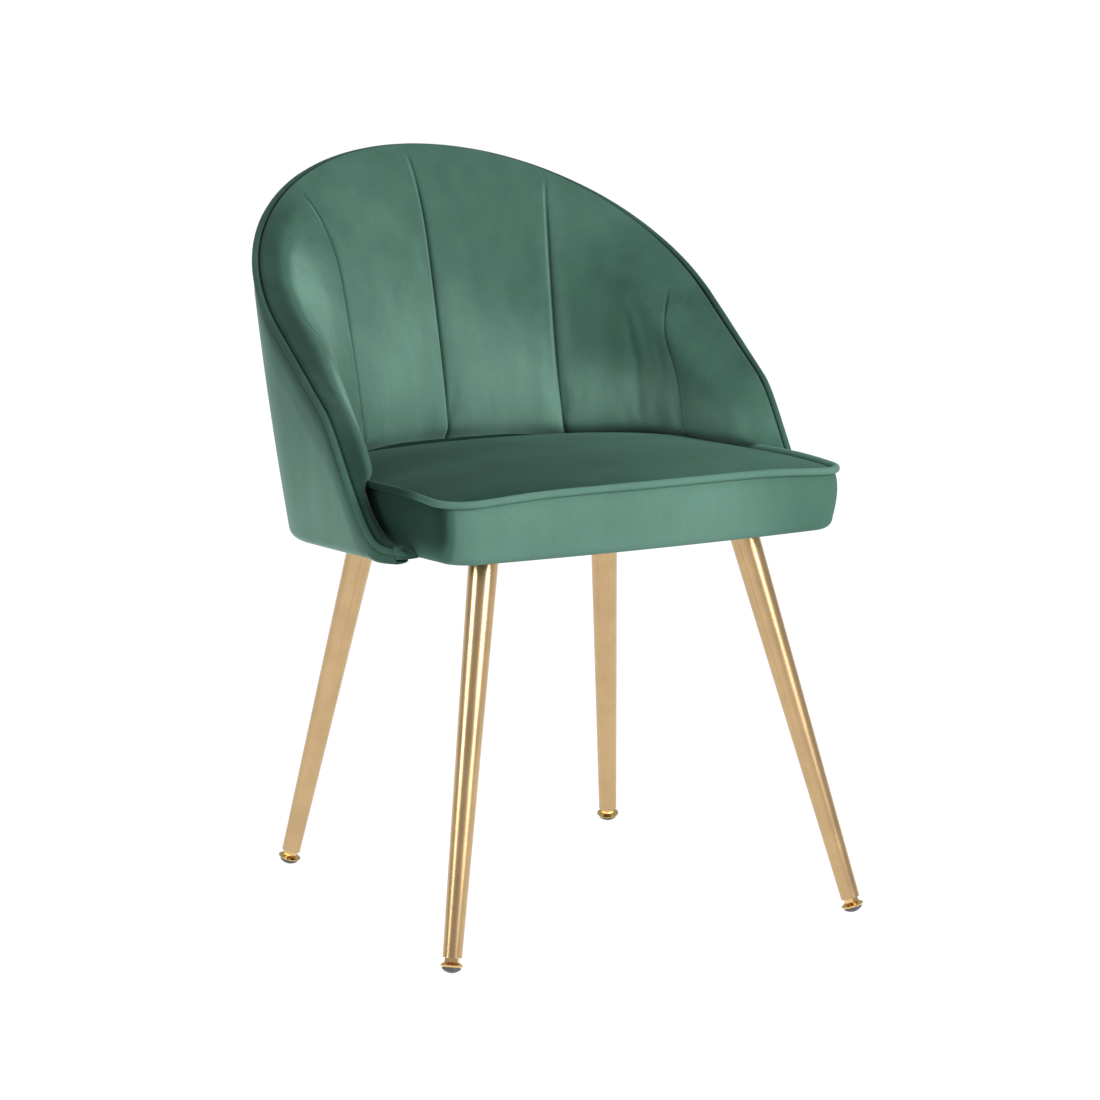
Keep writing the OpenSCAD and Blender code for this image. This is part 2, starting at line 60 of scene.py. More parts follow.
# ---- sizes of the seat and back: millimetres, degrees and shares, mostly as in the CAD part ------
BACK_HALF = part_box("back_outer_cover")[1].x / MM
SEAT_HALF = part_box("seat_boxing")[1].x / MM
BOX_MID = 58.8                      # how far the middle of the chair's box lies behind the seat's frame
SEAT_LIFT, SEAT_TILT = 412.0, 3.1   # height and tilt of the seat's underside
# the back's outside: radius of its round, where it stands at the seat's underside, lean to the rear,
# narrowing towards the lower edge and the height up to which that reaches
BACK_ROUND, BACK_FOOT, BACK_LEAN = 200.0, 258.0, 12.4
BACK_FLARE, FLARE_H = 6.5, 280.0
ROUND_LENGTH = 620.0                # length on the inner face from u = 0 to u = 1
LOWER_EDGE, EDGE_R = -3.5, 11.0     # height and radius of the outer cover's lower edge
# the arms' tips: place, height, curl inwards and the share of the arm that curls
TIP_Y, TIP_H, TIP_CURL, TIP_SHARE = -140.0, 10.0, 12.0, 0.18
ARM_PART, ARM_SWEEP = 0.42, 137.0   # share of u on an arm, and length over which its rim sweeps up
RIM_BASE, RIM_SLOPE = 148.6, 36.4   # the plane that the rim follows: height at y = 0, and slope
ARM_T, BACK_T, SIDE_T = 28.0, 50.0, 20.0    # padding at the tips, in the middle, and more at the sides
PIPING_R = 4.2
WELT_R = 0.85 * PIPING_R
SEAT_T, SEAT_CROWN, SEAT_FRONT, SEAT_CORNER = 70.0, 10.0, 246.0, 42.0
CORNER_DIP, FRONT_BOW = 6.0, 10.0   # the piping drops at the front corners, and the front bows out
PAD_KNEE = SEAT_T + 4               # height at which the padding starts to swell over the cushion
BACK_CLOTH, SEAT_CLOTH = 2.0, 1.6   # thickness of the covers
SEAMS = [-1.0, -0.55, -0.225, 0.0, 0.225, 0.55, 1.0]    # u of the tips and of the five seams
SEAM_STEPS = {1: -1, 5: 1}          # the two seams that lean to the rear, and their sides

SEAT = (Matrix.Translation((0, -BOX_MID * MM, SEAT_LIFT * MM))
        @ Matrix.Rotation(radians(-SEAT_TILT), 4, "X") @ Matrix.Scale(MM, 4))


def ease(t):
    """A smooth step from 0 to 1."""
    c = np.clip(t, 0, 1)
    return c * c * (3 - 2 * c)


# ---- outside surface, rim and padded inner face of the back --------------------------------------
def arc_y(z):
    """Centre of the back's round at a height."""
    return BACK_FOOT + z * tan(radians(BACK_LEAN)) - BACK_ROUND


def arm_share(u):
    """0 at an arm's tip to 1 where the arm meets the round."""
    return np.minimum((1 - np.abs(u)) / ARM_PART, 1)


def turn(u):
    """Angle round the back's round: 0 on the arms, a right angle at the rear."""
    return np.radians(np.maximum(0, 90 * (1 - np.abs(u) - ARM_PART) / (1 - ARM_PART)))


def curl(u):
    """How far the arm's tip curls inwards."""
    return TIP_CURL * np.maximum(0, 1 - arm_share(u) / TIP_SHARE) ** 2


def wall(u, z, d):
    """Points at depth d inside the back's outer face, as an array with x, y, z last."""
    u, z, d = np.broadcast_arrays(np.asarray(u, float), z, d)
    side = np.where(u < 0, -1.0, 1.0)
    half = BACK_HALF - d - BACK_FLARE * np.maximum(0, 1 - z / FLARE_H) ** 2
    x = side * (half * np.cos(turn(u)) - curl(u))
    y = TIP_Y + (arc_y(z) - TIP_Y) * arm_share(u) + (BACK_ROUND - d) * np.sin(turn(u))
    return np.stack([x, y, z], axis=-1)


def rim_over(y):
    """Height of the rim over a place from front to rear."""
    slope = RIM_BASE + y * tan(radians(RIM_SLOPE))
    return TIP_H + (slope - TIP_H) * ease((y - TIP_Y) / ARM_SWEEP)


def rim(u):
    """Height of the rim round the back, found in steps because the back leans."""
    z = np.full(np.shape(u), 100.0)
    for _ in range(7):
        z = rim_over(wall(u, z, 0.0)[..., 1])
    return z


def full_depth(u):
    """Depth of the padded face where it swells most."""
    return ARM_T + (BACK_T - ARM_T + SIDE_T * ease(2 * np.abs(u))) * arm_share(u) ** 1.3


ROLL_H_ARM, ROLL_H_MORE = 62, 78    # on the arms, and how much more at the rear
SWELL_OVER = 16                     # height over which the padding swells out above the knee
SLOW_SHARE, SLOW_OVER = 0.38, 60    # how much of that comes late up the middle, and over what height


def roll_h(u):
    """Height over which the padding rounds over towards the rim."""
    return ROLL_H_ARM + ROLL_H_MORE * np.sin(np.minimum(pi / 2, 1.6 * turn(u)))


def swell(u, z):
    """Depth of the padded face without its roll: thin beside the cushion, and swelling above it,
    slowly up the middle of the back and at once at the sides, where it bulges over the cushion."""
    to_side = ease(3.2 * np.abs(u))
    over = np.maximum(0, z - PAD_KNEE + 4 * to_side)
    belly = np.sqrt(1 - (1 - np.clip(over / SWELL_OVER, 0, 1)) ** 2)
    slow = SLOW_SHARE * np.exp(-over / SLOW_OVER) * (1 - to_side)
    return ARM_T + (full_depth(u) - ARM_T) * belly * (1 - slow)


# ---- mesh helpers -----------------------------------------------------------------------------------
def add_object(name, mesh):
    obj = bpy.data.objects.new(name, mesh)
    bpy.context.scene.collection.objects.link(obj)
    return obj


def grid_object(name, points, wrap=False):
    """A sheet of quads from an array of rows of points in the seat's frame."""
    rows, cols = points.shape[:2]
    verts = [SEAT @ Vector(p) for p in points.reshape(-1, 3)]
    faces = [(r * cols + c, r * cols + (c + 1) % cols, (r + 1) % rows * cols + (c + 1) % cols,
              (r + 1) % rows * cols + c)
             for r in range(rows - 1) for c in range(cols if wrap else cols - 1)]
    mesh = bpy.data.meshes.new(name)
    mesh.from_pydata(verts, [], faces)
    mesh.update()
    return add_object(name, mesh)


def smooth(obj):
    """Shades a mesh smooth."""
    obj.data.polygons.foreach_set("use_smooth", [True] * len(obj.data.polygons))
    return obj


def get_points(obj):
    """A mesh's points as an array."""
    co = np.empty(len(obj.data.vertices) * 3, np.float32)
    obj.data.vertices.foreach_get("co", co)
    return co.reshape(-1, 3).astype(float)


def set_points(obj, points):
    obj.data.vertices.foreach_set("co", points.astype(np.float32).ravel())
    obj.data.update()


def in_seat(points):
    """World points in the seat's frame, in millimetres."""
    matrix = np.array(SEAT.inverted())
    return points @ matrix[:3, :3].T + matrix[:3, 3]


def bake(obj):
    """Applies the modifiers by taking the evaluated mesh."""
    evaluated = obj.evaluated_get(bpy.context.evaluated_depsgraph_get())
    mesh = bpy.data.meshes.new_from_object(evaluated)
    obj.modifiers.clear()
    obj.data = mesh


def subdivide(obj):
    """Splits each quad in four and rounds the mesh."""
    obj.modifiers.new("Smooth", "SUBSURF").levels = 1
    bake(obj)


def thicken(obj, thickness):
    """Closes a sheet: its back lies thickness behind its face."""
    solid = obj.modifiers.new("Cloth thickness", "SOLIDIFY")
    solid.thickness = thickness
    solid.offset = -1
    bake(obj)


PRESSURE, CLOTH_FRAMES = 4.0, 20


def inflate(obj, pins, cap):
    """Swells a sheet with a cloth simulation by no more than cap. Pins holds one weight for each
    vertex."""
    group = obj.vertex_groups.new(name="pins")
    for i in np.flatnonzero(pins > 0):
        group.add([int(i)], float(pins[i]), "REPLACE")
    rest = get_points(obj)
    cloth = obj.modifiers.new("Stuffing", "CLOTH")
    settings = cloth.settings
    settings.quality = 6
    settings.mass = 0.3
    settings.tension_stiffness = settings.compression_stiffness = 15
    settings.shear_stiffness = 5
    settings.bending_stiffness = 1.5
    settings.use_pressure = True
    settings.uniform_pressure_force = PRESSURE
    settings.vertex_group_mass = "pins"
    settings.effector_weights.gravity = 0
    scene = bpy.context.scene
    cloth.point_cache.frame_start, cloth.point_cache.frame_end = 1, CLOTH_FRAMES
    for number in range(1, CLOTH_FRAMES + 1):
        scene.frame_set(number)
    evaluated = obj.evaluated_get(bpy.context.evaluated_depsgraph_get())
    moved = np.array([v.co for v in evaluated.data.vertices]) - rest
    obj.modifiers.clear()
    obj.vertex_groups.clear()
    scene.frame_set(1)
    length = np.linalg.norm(moved, axis=1, keepdims=True)
    moved *= cap * np.tanh(length / cap) / np.maximum(length, 1e-9)
    print(obj.name, "swelled", round(float(length.max()) / MM, 2), "mm")
    set_points(obj, rest + moved)


TUBE_SIDES = 12


def tube(name, path, radius):
    """A closed tube along points in the seat's frame, its radius a number or one for each point."""
    path = np.asarray(path, float)
    radius = np.broadcast_to(radius, len(path))
    ahead = np.gradient(path, axis=0)
    ahead /= np.linalg.norm(ahead, axis=1, keepdims=True)
    across = np.cross(ahead, (0, 0, 1.0))
    across /= np.linalg.norm(across, axis=1, keepdims=True)
    up = np.cross(across, ahead)
    turns = np.linspace(0, 2 * pi, TUBE_SIDES, endpoint=False)[None, :, None]
    rings = (path[:, None] + radius[:, None, None]
             * (across[:, None] * np.cos(turns) + up[:, None] * np.sin(turns)))
    obj = grid_object(name, rings, wrap=True)
    mesh = bmesh.new()
    mesh.from_mesh(obj.data)
    mesh.verts.ensure_lookup_table()
    last = (len(path) - 1) * TUBE_SIDES
    mesh.faces.new([mesh.verts[i] for i in range(TUBE_SIDES)])
    mesh.faces.new([mesh.verts[last + i] for i in reversed(range(TUBE_SIDES))])
    bmesh.ops.recalc_face_normals(mesh, faces=mesh.faces)
    mesh.to_mesh(obj.data)
    mesh.free()
    return obj


UNEVEN, UNEVEN_SCALE = 0.2, 0.03


def wobble(path):
    """The slight unevenness of a sewn cord's radius along its path."""
    return np.array([UNEVEN * noise.noise(Vector(p * UNEVEN_SCALE)) for p in path])


# ---- materials ---------------------------------------------------------------------------------------
def new_material(name):
    """A material with its nodes, its links and its shader."""
    material = bpy.data.materials.new(name)
    material.use_nodes = True
    nodes = material.node_tree.nodes
    return material, nodes, material.node_tree.links, nodes["Principled BSDF"]


def texture_noise(nodes, links, vector, scale, detail, roughness, stretch=None):
    """A noise texture's value output over object coordinates, stretched along the axes if asked."""
    if stretch:
        mapping = nodes.new("ShaderNodeMapping")
        mapping.inputs["Scale"].default_value = stretch
        links.new(vector, mapping.inputs["Vector"])
        vector = mapping.outputs["Vector"]
    tex = nodes.new("ShaderNodeTexNoise")
    tex.inputs["Scale"].default_value = scale
    tex.inputs["Detail"].default_value = detail
    tex.inputs["Roughness"].default_value = roughness
    links.new(vector, tex.inputs["Vector"])
    return tex.outputs["Fac"]


def ramp(nodes, links, value, stops):
    """Maps a value to a colour or grey: stops is a list of (position, colour)."""
    node = nodes.new("ShaderNodeValToRGB")
    elements = node.color_ramp.elements
    for element, (place, colour) in zip(elements, stops[:2]):
        element.position, element.color = place, (*colour, 1)
    for place, colour in stops[2:]:
        elements.new(place).color = (*colour, 1)
    node.color_ramp.interpolation = "EASE"
    links.new(value, node.inputs["Fac"])
    return node.outputs["Color"]


def multiply(nodes, links, a, b):
    """The product of two colours: a Mix node's colours go in at 6 and 7 and come out at 2."""
    node = nodes.new("ShaderNodeMix")
    node.data_type, node.blend_type = "RGBA", "MULTIPLY"
    node.inputs["Factor"].default_value = 1.0
    links.new(a, node.inputs[6])
    links.new(b, node.inputs[7])
    return node.outputs[2]


def bump(nodes, links, height, strength, distance, normal=None):
    """A bumped normal, over another one if it is given; distance is in metres."""
    node = nodes.new("ShaderNodeBump")
    node.inputs["Strength"].default_value = strength
    node.inputs["Distance"].default_value = distance
    links.new(height, node.inputs["Height"])
    if normal:
        links.new(normal, node.inputs["Normal"])
    return node.outputs["Normal"]


# colours of shaded, middling and lit velvet: the mesh's value paints light and shade between them, along
# with the way the nap lies
VELVET_SHADED = (0.009, 0.027, 0.020)
VELVET_MID = (0.046, 0.106, 0.080)
VELVET_LIT = (0.122, 0.232, 0.186)
PATCH_SCALE, STREAK_SCALE, RUFFLE_SCALE, FIBRE_SCALE = 9, 14, 60, 1500
DOWN_THE_CLOTH = (3.0, 3.0, 0.35)


def velvet(name, sheen, tint, mottle, offset=(0, 0, 0)):
    """Short-napped velvet. Its colour runs from shaded to lit as the mesh's own value says, which holds
    painted light and shade along with the way the nap lies, broken up by patches, with streaks down the
    cloth and fine fibres."""
    material, nodes, links, shader = new_material(name)
    place = nodes.new("ShaderNodeTexCoord").outputs["Object"]
    shift = nodes.new("ShaderNodeMapping")
    shift.inputs["Location"].default_value = offset
    links.new(place, shift.inputs["Vector"])
    place = shift.outputs["Vector"]
    # the mesh's value, which holds painted light and shade along with the way the nap lies
    painted_light_attribute = nodes.new("ShaderNodeAttribute")
    painted_light_attribute.attribute_name = "pile_and_painted_light"
    patches = nodes.new("ShaderNodeMapRange")
    patches.inputs["To Min"].default_value, patches.inputs["To Max"].default_value = -mottle, mottle
    links.new(texture_noise(nodes, links, place, PATCH_SCALE, 4, 0.6), patches.inputs["Value"])
    total = nodes.new("ShaderNodeMath")
    links.new(painted_light_attribute.outputs["Fac"], total.inputs[0])
    links.new(patches.outputs["Result"], total.inputs[1])
    shaded_colour = ramp(nodes, links, total.outputs["Value"],
                 [(0.0, VELVET_SHADED), (1.0, VELVET_LIT), (0.5, VELVET_MID)])
    long_noise = texture_noise(nodes, links, place, STREAK_SCALE, 3, 0.6, DOWN_THE_CLOTH)
    streaks = ramp(nodes, links, long_noise, [(0.3, (1 - mottle / 3,) * 3), (0.7, (1 + mottle / 3,) * 3)])
    fibres = texture_noise(nodes, links, place, FIBRE_SCALE, 2, 0.6)
    flecks = ramp(nodes, links, fibres, [(0.3, (0.88, 0.88, 0.88)), (0.7, (1.08, 1.08, 1.08))])
    colour = multiply(nodes, links, multiply(nodes, links, shaded_colour, streaks), flecks)
    links.new(colour, shader.inputs["Base Color"])
    shader.inputs["Roughness"].default_value = 0.85
    shader.inputs["Specular IOR Level"].default_value = 0.03
    shader.inputs["Sheen Weight"].default_value = sheen
    shader.inputs["Sheen Roughness"].default_value = 0.40
    shader.inputs["Sheen Tint"].default_value = (*tint, 1)
    ruffle = texture_noise(nodes, links, place, RUFFLE_SCALE, 3, 0.6)
    normal = bump(nodes, links, ruffle, 0.08, 0.004)
    links.new(bump(nodes, links, fibres, 0.25, 0.0004, normal), shader.inputs["Normal"])
    return material


WEAR = 0.03


def metal(name, colour, roughness):
    """Plated or bare metal, a little uneven in colour and polish."""
    material, nodes, links, shader = new_material(name)
    place = nodes.new("ShaderNodeTexCoord").outputs["Object"]
    cloud = texture_noise(nodes, links, place, 35, 4, 0.6)
    tint = tuple(c * 0.90 for c in colour)
    links.new(ramp(nodes, links, cloud, [(0.3, tint), (0.7, colour)]), shader.inputs["Base Color"])
    shader.inputs["Metallic"].default_value = 1.0
    polish = ramp(nodes, links, texture_noise(nodes, links, place, 25, 2, 0.5, (1.0, 1.0, 0.2)),
                  [(0.3, (roughness - WEAR,) * 3), (0.7, (roughness + WEAR,) * 3)])
    links.new(polish, shader.inputs["Roughness"])
    return material


def wood(name, pale, dark):
    """Birch plywood: plies seen as bands, and grain."""
    material, nodes, links, shader = new_material(name)
    place = nodes.new("ShaderNodeTexCoord").outputs["Object"]
    grain = texture_noise(nodes, links, place, 30, 5, 0.65, (0.25, 2.0, 9.0))
    links.new(ramp(nodes, links, grain, [(0.3, dark), (0.7, pale)]), shader.inputs["Base Color"])
    shader.inputs["Roughness"].default_value = 0.62
    links.new(bump(nodes, links, grain, 0.3, 0.0006), shader.inputs["Normal"])
    return material


def plain_cloth(name, pale, dark, scale, depth):
    """Non-woven cloth or foam: a fine speckle with its bump."""
    material, nodes, links, shader = new_material(name)
    place = nodes.new("ShaderNodeTexCoord").outputs["Object"]
    speckle = texture_noise(nodes, links, place, scale, 4, 0.7)
    links.new(ramp(nodes, links, speckle, [(0.35, dark), (0.65, pale)]), shader.inputs["Base Color"])
    shader.inputs["Roughness"].default_value = 0.9
    links.new(bump(nodes, links, speckle, 0.4, depth), shader.inputs["Normal"])
    return material


def nylon(name):
    """Moulded dark grey plastic with a faint grain."""
    material, nodes, links, shader = new_material(name)
    place = nodes.new("ShaderNodeTexCoord").outputs["Object"]
    speckle = texture_noise(nodes, links, place, 500, 3, 0.6)
    links.new(ramp(nodes, links, speckle, [(0.3, (0.045, 0.045, 0.05)), (0.7, (0.075, 0.075, 0.08))]),
              shader.inputs["Base Color"])
    shader.inputs["Roughness"].default_value = 0.45
    links.new(bump(nodes, links, speckle, 0.2, 0.0002), shader.inputs["Normal"])
    return material


def dress(obj, material):
    """Gives a piece one material."""
    obj.data.materials.clear()
    obj.data.materials.append(material)


# ---- which way the nap lies, and where light and shade are painted into the velvet -------------------
def share_round(p):
    """The share u round the back of points in the seat's frame, at any depth."""
    centre = arc_y(p[:, 2])
    beyond = BACK_ROUND - BACK_HALF + BACK_FLARE * np.maximum(0, 1 - p[:, 2] / FLARE_H) ** 2
    angle = np.zeros(len(p))
    for _ in range(8):
        angle = np.arctan2(p[:, 1] - centre - beyond * np.sin(angle), np.abs(p[:, 0]))
    arc = 1 - ARM_PART - np.maximum(angle, 0) / (pi / 2) * (1 - ARM_PART)
    arm = 1 - ARM_PART * (p[:, 1] - TIP_Y) / (centre - TIP_Y)
    return np.where(p[:, 0] < 0, -1, 1) * np.where(angle > 0, arc, np.clip(arm, 0, 1))


def blob(a, b, at, spread):
    """A soft round patch, 1 in its middle."""
    return np.exp(-((a - at[0]) / spread[0]) ** 2 - ((b - at[1]) / spread[1]) ** 2)


def under_rim(p):
    """How far points lie below the rim."""
    return rim(share_round(p)) - p[:, 2]


def line(gap, at, width):
    """A soft line along a seam, so many millimetres past it."""
    return np.exp(-((gap - at) / width) ** 2)


def painted_seam_shading(u, z, below):
    """Painted shade in each seam with a painted highlight beside it, starting a little under the rim."""
    total = 0
    for i in range(1, 6):
        gap = (u - seam_u(i, z)) * ROUND_LENGTH
        start = 10 if i in SEAM_STEPS else 3
        total += (0.22 * line(gap, -2.6, 1.6) - 0.32 * line(gap, 0.6, 1.8)) * ease((below - start) / 16)
    return total


# painted light in soft patches on the back: how much, the middle (u, z) and the spread (u, z)
PAINTED_LIGHT_PATCHES = [
    (0.42, (-0.44, 235), (0.13, 110)), (0.34, (-0.10, 180), (0.21, 140)), (0.36, (0.15, 120), (0.11, 95)),
    (0.45, (0.42, 105), (0.19, 55)), (0.16, (0.25, 230), (0.03, 90)), (0.30, (0.78, 100), (0.22, 40)),
    (0.50, (-0.67, 150), (0.08, 80))]
# painted shade high on the back's right, which faces away from the key light
PAINTED_SHADE_PATCH = (0.20, (0.44, 270), (0.15, 85))
BAND_SHADE = 0.34       # how much painted shade lies in a band under the rim on the left
# the even value painted on the arms' noses, and how far back from the tips it reaches
TIP_PILE_AND_PAINTED_LIGHT, TIP_REACH = 0.42, 14


def inner_pile_and_painted_light(p):
    """Painted light low on the back and on its left, painted shade on the right and in a band under the
    rim, and painted seam shading. The arms' noses are even."""
    u, z, below = share_round(p), p[:, 2], under_rim(p)
    # painted light in patches; painted shade high on the right, along the right rim and in a band under
    # the left rim
    light = sum(strength * blob(u, z, at, spread) for strength, at, spread in PAINTED_LIGHT_PATCHES)
    right_rim = 0.20 * ease((u - 0.5) / 0.15) * (1 - ease(below / 70))
    dark = PAINTED_SHADE_PATCH[0] * blob(u, z, *PAINTED_SHADE_PATCH[1:]) + right_rim
    band = (1 - ease((below - 4) / 22)) * (1 - ease((u + 0.42) / 0.28))
    pile_and_painted_light = 0.5 + light * (1 - band) - dark - BAND_SHADE * band + painted_seam_shading(u, z, below)
    tip = ease((TIP_Y + TIP_REACH - p[:, 1]) / TIP_REACH)
    return pile_and_painted_light + (TIP_PILE_AND_PAINTED_LIGHT - pile_and_painted_light) * tip


def outer_pile_and_painted_light(p):
    """Painted shade under the welt, painted light low down."""
    return 0.14 + 0.50 * ease(under_rim(p) / 60) + 0.14 * ease((160 - p[:, 2]) / 120)


def top_pile_and_painted_light(p):
    """Painted shade on the cushion's top, with the nap laid dark, less so towards its right and its
    front.
    """
    return 0.08 + 0.24 * ease((p[:, 0] + 150) / 350) + 0.07 * ease((-p[:, 1] - 120) / 80)


def side_pile_and_painted_light(p):
    """Painted light on the cushion's front, painted shade where its side turns to the rear, less so low
    down.
    """
    facing_side = ease((np.abs(p[:, 0]) - SEAT_HALF + 14) / 12) * ease((p[:, 1] + SEAT_FRONT - 8) / 26)
    # painted light on the front, with painted shade towards its right end
    front = 0.75 - 0.15 * ease((p[:, 0] - 60) / 150)
    return front - facing_side * (0.65 - 0.18 * ease((30 - p[:, 2]) / 25))


def welt_pile_and_painted_light(p):
    """Painted shade round the top of the back, less of it down the arms."""
    return 0.25 + 0.15 * ease((200 - p[:, 2]) / 140)


def cord_pile_and_painted_light(p):
    """Painted light along the front and the right side, painted shade where the back presses against it
    and along the left side.
    """
    # painted shade at the rear, where the back presses on the cord, and along the left side
    behind = ease((p[:, 1] + 20) / 60)
    beside = ease((-p[:, 0] - 205) / 25) * ease((p[:, 1] + 225) / 110)
    return 0.75 - 0.75 * np.maximum(behind, beside)


def lay_pile_and_painted_light(obj, shade):
    """Stores how light the velvet is painted, from 0 to 1, at each point of the mesh: the way its nap
    lies, with painted light and shade.
    """
    values = np.clip(shade(in_seat(get_points(obj))), 0, 1)
    obj.data.attributes.new("pile_and_painted_light", "FLOAT", "POINT").data.foreach_set("value", values.astype(np.float32))


def finish_soft(obj, cloth, shade, slot, *nodes, fill=None):
    """Gives a soft piece its cloth, and says what it rides on and what it replaces. How full it is (fill)
    is not used.
    """
    lay_pile_and_painted_light(obj, shade)
    dress(smooth(obj), cloth)
    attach(obj, "chair")
    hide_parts(*nodes)


# ---- back: six padded channels ----------------------------------------------------------------------
PANEL_ROWS, KNEE_ROWS = 64, 8       # rows of a channel, and how many of them lie beside the cushion
FINE, COARSE, GROWTH = 0.7, 6.5, 1.5        # columns: first step from a seam, longest step, and growth
SEAM_DEPTH, SEAM_WIDTH = 5.0, 3.0   # how deep the quilting pulls a seam in, and over what distance
PUFF, PUFF_WIDTH = 3.0, 14          # how far the padding stands up between seams
FADE_START, FADE_OVER = 18, 50      # depth below the crest where the quilting begins
CREST = 2.5                         # how far the padding stands over the rim, and more on the arms
ROLL_EDGE, ROLL_R = 9.0, 5.0        # where the padding ends behind the welt, and its radius there
ROLL_POWER = 3.2                    # how squarely the padding rolls over at the rim
TUCK_DOWN, TUCK_OUT = 4, 2.5        # how far its last row lies down and out behind the welt
SWELL_MAX, SEAT_MAX, SIDE_MAX = 4 * MM, 6 * MM, 3 * MM      # the most that the simulation may swell
NOSE_AHEAD = np.array((0, -0.22, -0.05))    # how far an arm's nose stands ahead, per half thickness
NOSE_TURNS = np.radians(np.linspace(15, 180, 12))
COVER_IN = 1.2                      # the nose ends this far inside the outer face
# the outer seams: u low down, how far they lean, from which height, over which and how suddenly
LEAN_U, LEAN, LEAN_FROM, LEAN_OVER, LEAN_POWER = 0.60, 0.075, 130, 115, 1.6
FAN, FAN_FROM, FAN_OVER = 0.08, 120, 230    # and how far the next seams fan out above which height


def seam_u(i, z):
    """Where seam i runs at a height: as they rise, the outer seams lean to the rear and the next ones
    to the sides. The middle one is straight."""
    if i not in SEAM_STEPS:
        return SEAMS[i] * (1 + FAN * ease((z - FAN_FROM) / FAN_OVER))
    return SEAM_STEPS[i] * (LEAN_U - LEAN * (np.maximum(z - LEAN_FROM, 0) / LEAN_OVER) ** LEAN_POWER)


def from_seam(width):
    """Shares across a channel, close together at its two seams."""
    steps, at, step = [0.0], 0.0, FINE
    while at + step < width / 2:
        at += step
        steps.append(at)
        step = min(step * GROWTH, COARSE)
    half = np.array(steps) / (2 * steps[-1])
    return np.concatenate([half, 1 - half[-2::-1]])


def crest_z(u):
    """Top of the padding's roll, a little above the welt."""
    return rim(u) + CREST + CREST * ease((np.abs(u) - 0.6) * 5)


def panel_z(u):
    """Heights of a channel's rows at u, from its foot behind the cushion up to the crest: even steps
    to the knee, then closer and closer together."""
    crest = crest_z(u)
    foot = 2 + 10 * ease((crest - 16) / 60)
    knee = np.minimum(PAD_KNEE, foot + 0.4 * (crest - foot))
    share = np.concatenate([np.linspace(0, 1, KNEE_ROWS, endpoint=False),
                            np.sin(pi / 2 * np.linspace(0, 1, PANEL_ROWS - KNEE_ROWS))])[:, None]
    under = np.arange(PANEL_ROWS)[:, None] < KNEE_ROWS
    return np.where(under, foot + (knee - foot) * share, knee + (crest - knee) * share)


def channel(i):
    """The face of channel i of the inner cover, between seams i - 1 and i: its points, and how far
    the quilting has faded in at each."""
    width = ROUND_LENGTH * abs(SEAMS[i] - SEAMS[i - 1])
    share = from_seam(width)
    ends = []
    for k in (i - 1, i):
        at = np.full((PANEL_ROWS, 1), SEAMS[k])
        for _ in range(3):
            at = seam_u(k, panel_z(at))
        ends.append(at)
    u = ends[0] + (ends[1] - ends[0]) * share[None]
    crest, z = crest_z(u), panel_z(u)
    below = np.clip((crest - z) / np.minimum(roll_h(u), 0.9 * crest), 0, 1)
    start = ROLL_EDGE + ROLL_R
    d = start + (swell(u, z) - start) * (1 - (1 - below) ** ROLL_POWER)
    fade = ease((crest - z - FADE_START) / FADE_OVER)
    # an outer channel has a seam on one side only
    gap = {1: (1 - share), 6: share}.get(i, np.minimum(share, 1 - share))[None] * width
    valley = SEAM_DEPTH * np.exp(-gap / SEAM_WIDTH) * fade
    puff = PUFF * (1 - np.exp(-gap / PUFF_WIDTH)) * fade
    rows = [wall(u, z, d + puff - valley)]
    # over the top and down behind the welt
    for a in np.radians((30, 60, 90)):
        rows.append(wall(u[-1:], crest[-1:] - ROLL_R * (1 - cos(a)), start - ROLL_R * sin(a)))
    rows.append(wall(u[-1:], crest[-1:] - ROLL_R - TUCK_DOWN, ROLL_EDGE - TUCK_OUT))
    points = np.concatenate(rows)
    fade = np.concatenate([fade, np.zeros((4, len(share)))])
    if i in (1, 6):
        points, fade = round_tip(points, fade, i)
    return points, fade


def round_tip(points, fade, i):
    """Closes the front of an arm with a rounded nose from the inner face to the outside."""
    end = 0 if i == 1 else -1
    inner = points[:, end]
    outer = wall(-1.0 if i == 1 else 1.0, inner[:, 2], COVER_IN)
    middle, half = (inner + outer) / 2, (inner - outer) / 2
    ahead = np.linalg.norm(half, axis=1, keepdims=True) * NOSE_AHEAD
    nose = [middle + half * cos(a) + ahead * sin(a) for a in NOSE_TURNS]
    nose = np.stack(nose if i == 6 else nose[::-1], axis=1)
    still = np.zeros(nose.shape[:2])
    parts, fades = (nose, points), (still, fade)
    if i == 6:
        parts, fades = parts[::-1], fades[::-1]
    return np.concatenate(parts, axis=1), np.concatenate(fades, axis=1)


def make_channels(cloth):
    """The six channels, held at their seams, beside the cushion and along the rim."""
    for i in range(1, 7):
        points, fade = channel(i)
        obj = grid_object(f"channel_{i}", points)
        pins = np.maximum(1 - fade, 0.0)
        pins[:, [0, -1]] = 1
        pins[:KNEE_ROWS + 1] = 1
        inflate(obj, pins.ravel(), SWELL_MAX)
        subdivide(obj)
        thicken(obj, BACK_CLOTH * MM)
        # the foam lies behind all six, and one of them stands in for it
        hidden = ("back_foam",) if i == 3 else ()
        finish_soft(obj, cloth, inner_pile_and_painted_light, "velvet", f"inner_panel_{i}", *hidden, fill=0.8)


def edge_round(u):
    """Radius of the outer cover's lower edge, smaller where the arms are low."""
    return np.minimum(EDGE_R, 0.45 * (rim(u) - PIPING_R))


# the outer cover: how far it is drawn in near the welt, tucked behind it, and how far it stands out
# between; the first two with the distance over which they reach
DRAWN_IN, DRAWN_OVER, TUCKED_IN, TUCKED_OVER, STANDS_OUT = 2.2, 26, 3.0, 5, 0.8


